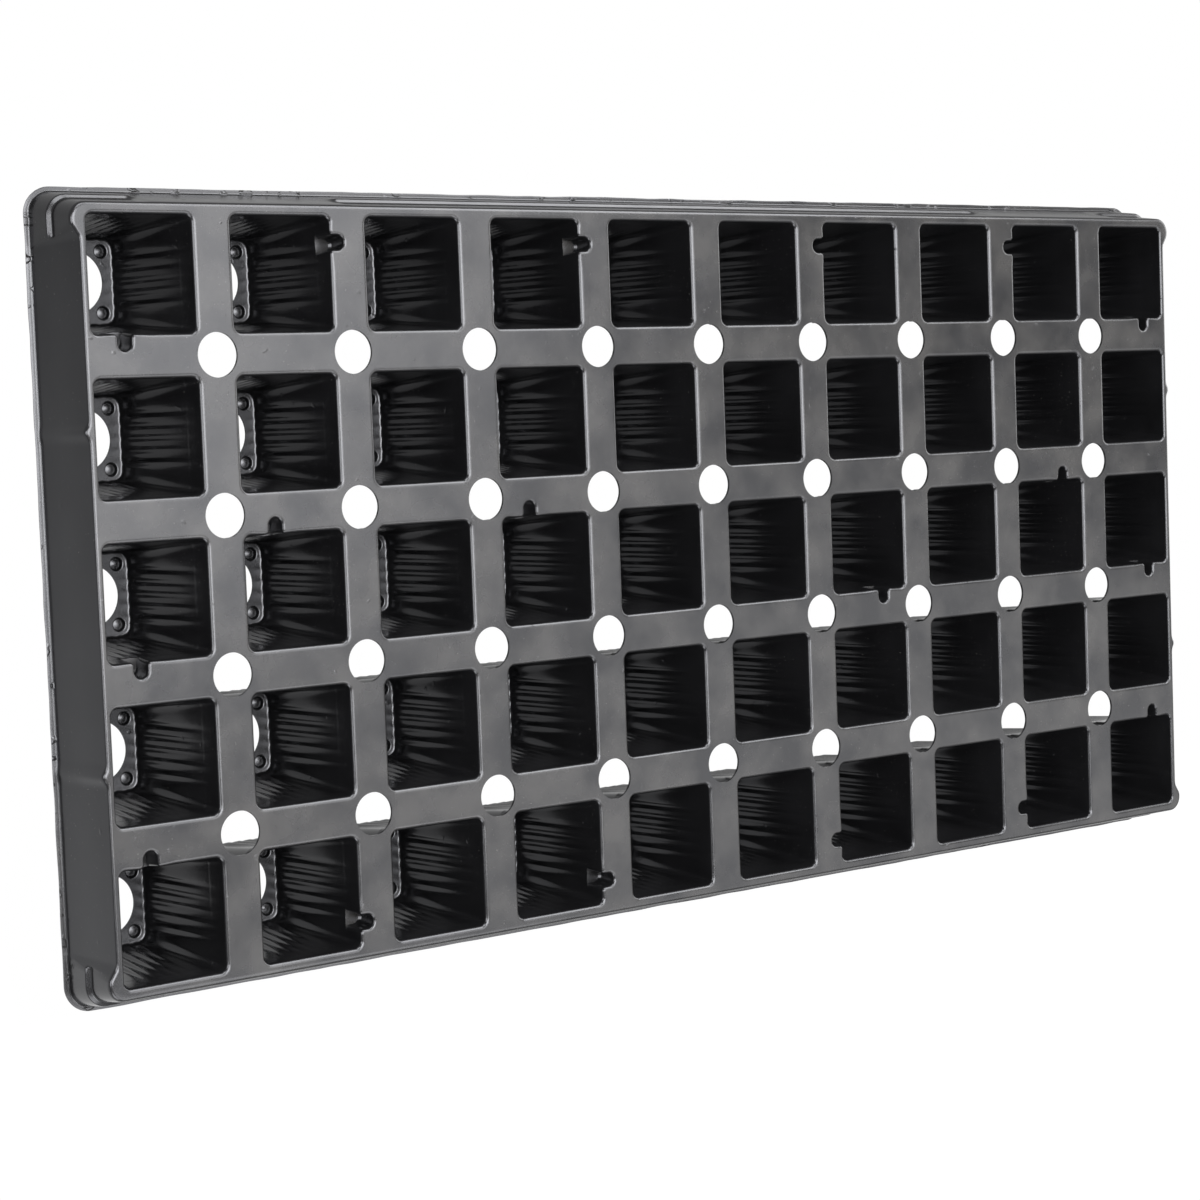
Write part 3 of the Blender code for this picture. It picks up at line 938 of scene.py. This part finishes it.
def black_polystyrene(tray):
    """Satin black sheet, glossier down the drawn walls. A film of dust and some specks lie on what
    faces up;
    the film thins towards the cells' floors as painted shade, so they read darker. There are
    pimples and shallow waves from forming, and the trimmed rim is nicked."""
    material = bpy.data.materials.new("black_polystyrene_look")
    material.use_nodes = True
    tree = material.node_tree
    shader = tree.nodes["Principled BSDF"]
    geometry = tree.nodes.new("ShaderNodeNewGeometry")
    place = geometry.outputs["Position"]
    upright = split(tree, geometry.outputs["Normal"])["Z"]
    level = remap(tree, upright, LEVEL_FROM, LEVEL_TO, 0.0, 1.0)
    # Painted shade: the film thins from the deck down to the height of the cells' floors, so the
    # black deep in the cells is darker.
    film_share_by_depth_shade = remap(tree, split(tree, place)["Z"], FLOOR_TOP, tray.top, FILM_SHARE_IN_CELL_SHADE, 1.0)

    plastic = blend(tree, noise_at(tree, place, *MOTTLE), BLACK, GREYER_BLACK)
    patches = calculate(tree, "MULTIPLY", level, noise_at(tree, place, *FILM))
    # The dust film on what faces up, thinned lower down as painted shade.
    dust_film_with_shade = calculate(tree, "MULTIPLY", film_share_by_depth_shade, patches)
    dusted_and_shaded = blend(tree, dust_film_with_shade, plastic, DUSTY_BLACK)
    specks = noise_at(tree, place, *SPECKS)
    speckled = noise_at(tree, place, *SPECKLED)
    colour = blend(tree, calculate(tree, "MULTIPLY", specks, speckled), dusted_and_shaded, DUST)
    tree.links.new(colour, shader.inputs["Base Color"])

    gloss = noise_at(tree, place, *ROUGHNESS)
    roughness = calculate(tree, "MULTIPLY_ADD", level, DUSTY_ROUGHNESS, gloss)
    tree.links.new(roughness, shader.inputs["Roughness"])

    start, full = NICKED_EDGE
    on_rim = remap(tree, past_rim(tree, place, tray), -start, -full, 0.0, 1.0)
    nicked = calculate(tree, "MULTIPLY", on_rim, noise_at(tree, place, *NICKED))
    nicks = calculate(tree, "MULTIPLY", nicked, noise_at(tree, place, *NICKS))
    normal = None
    for relief, strength, depth in (WAVES, PEEL, PIMPLES):
        normal = bump(tree, noise_at(tree, place, *relief), strength, depth, normal)
    normal = bump(tree, nicks, 1.0, NICK_DEPTH, normal)
    relief, strength, depth = GRAIN
    normal = bump(tree, noise_at(tree, place, *relief), strength, depth, normal)
    tree.links.new(normal, shader.inputs["Normal"])

    shader.inputs["IOR"].default_value = INDEX
    shader.inputs["Specular Tint"].default_value = SHEEN
    return material


# ---------------------------------------------------------------- studio


CAMERA_PLACE = Vector((-0.6812, 0.0598, 0.8533))
CAMERA_AIM = (-0.0578, -0.0133)  # on the deck
CAMERA_ROLL = math.radians(93.1)
CAMERA_LENS = 81.9
WORLD_LIGHT = 0.35
FLOOR_LIGHT_NEAR = 1.05  # at the -Y side
FLOOR_LIGHT_FAR = 0.45
UNDER_TRAY = 0.6  # the share of the floor's light that is left under the tray
UNDER_FROM, UNDER_TO = -20 * MM, 10 * MM  # beyond the rim, where that share ends and all is left
FLOOR_REACH = 4.0
# name, direction from the tray, diameter, power in watts
LIGHTS = (
    ("far_box", (0.30, 0.19, 0.92), 1.15, 14.0),
    ("far_low_box", (0.68, -0.34, 0.70), 1.3, 6.0),
    ("top_box", (-0.25, 0.15, 0.95), 1.3, 48.0),
    ("back_high_box", (0.50, 0.66, 0.55), 1.2, 28.0),
    ("back_box", (-0.1, 0.82, 0.58), 1.1, 20.0),
    ("left_box", (-0.84, 0.1, 0.54), 1.1, 18.0),
    ("front_box", (-0.4, -0.8, 0.44), 1.1, 14.0),
    ("front_high_box", (0.2, -0.62, 0.75), 1.3, 14.0),
    ("right_box", (0.95, 0.26, 0.16), 1.2, 12.0),
)
LIGHT_DISTANCE = 1.8


def shown_and_cast(tree, cast):
    """1 as seen by the camera, and another strength as light on the tray."""
    seen = tree.nodes.new("ShaderNodeLightPath").outputs["Is Camera Ray"]
    return calculate(tree, "MAXIMUM", seen, cast)


def floor_material(tray):
    """White as seen. The glow on the tray is stronger at its -Y side and weaker under it."""
    material = bpy.data.materials.new("studio_floor_white")
    material.use_nodes = True
    tree = material.node_tree
    tree.nodes.remove(tree.nodes["Principled BSDF"])
    emission = tree.nodes.new("ShaderNodeEmission")
    place = tree.nodes.new("ShaderNodeNewGeometry").outputs["Position"]
    across = split(tree, place)["Y"]
    glow = remap(tree, across, -tray.rim_y, tray.rim_y, FLOOR_LIGHT_NEAR, FLOOR_LIGHT_FAR)
    beyond = past_rim(tree, place, tray)
    open_share = remap(tree, beyond, UNDER_FROM, UNDER_TO, UNDER_TRAY, 1.0)
    cast = calculate(tree, "MULTIPLY", glow, open_share)
    tree.links.new(shown_and_cast(tree, cast), emission.inputs["Strength"])
    tree.links.new(emission.outputs["Emission"], tree.nodes["Material Output"].inputs["Surface"])
    return material


def add_floor(tray):
    """A plain white floor that glows, like the table of a product booth."""
    mesh = bpy.data.meshes.new("studio_floor")
    corners = at_height([quadrant * FLOOR_REACH for quadrant in QUADRANTS], 0.0)
    mesh.from_pydata(corners, [], [(0, 1, 2, 3)])
    mesh.materials.append(floor_material(tray))
    floor = bpy.data.objects.new("studio_floor", mesh)
    bpy.context.scene.collection.objects.link(floor)


def add_world():
    world = bpy.data.worlds.new("studio_world")
    world.use_nodes = True
    background = world.node_tree.nodes["Background"]
    background.inputs["Color"].default_value = (1.0, 1.0, 1.0, 1.0)
    strength = shown_and_cast(world.node_tree, WORLD_LIGHT)
    world.node_tree.links.new(strength, background.inputs["Strength"])
    bpy.context.scene.world = world


def aim(thing, location, target, roll=0.0):
    """Puts a camera or light at a place, facing the target and rolled about its own axis."""
    way = (target - location).normalized()
    turn = way.to_track_quat("-Z", "Y")
    thing.rotation_euler = (turn.to_matrix().to_4x4() @ Matrix.Rotation(roll, 4, "Z")).to_euler()
    thing.location = location


def add_light(name, direction, distance, size, power, middle):
    light = bpy.data.lights.new(name, "AREA")
    light.shape = "DISK"
    light.size = size
    light.energy = power
    lamp = bpy.data.objects.new(name, light)
    bpy.context.scene.collection.objects.link(lamp)
    aim(lamp, middle + Vector(direction).normalized() * distance, middle)


def add_camera(location, target, roll, lens):
    camera = bpy.data.cameras.new("camera")
    camera.sensor_width = 36.0
    camera.lens = lens
    holder = bpy.data.objects.new("camera", camera)
    bpy.context.scene.collection.objects.link(holder)
    aim(holder, location, target, roll)
    bpy.context.scene.camera = holder


def build_studio(tray):
    middle = Vector((0.0, 0.0, tray.top))
    add_floor(tray)
    add_world()
    for name, direction, size, power in LIGHTS:
        add_light(name, direction, LIGHT_DISTANCE, size, power, middle)
    add_camera(CAMERA_PLACE, Vector((*CAMERA_AIM, tray.top)), CAMERA_ROLL, CAMERA_LENS)
    bpy.context.scene.view_settings.view_transform = "Standard"


def main():
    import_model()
    tray = Tray()
    material = black_polystyrene(tray)
    build_cells(tray, material)
    build_skirts(tray, material)
    build_studio(tray)
    bpy.context.view_layer.update()


main()
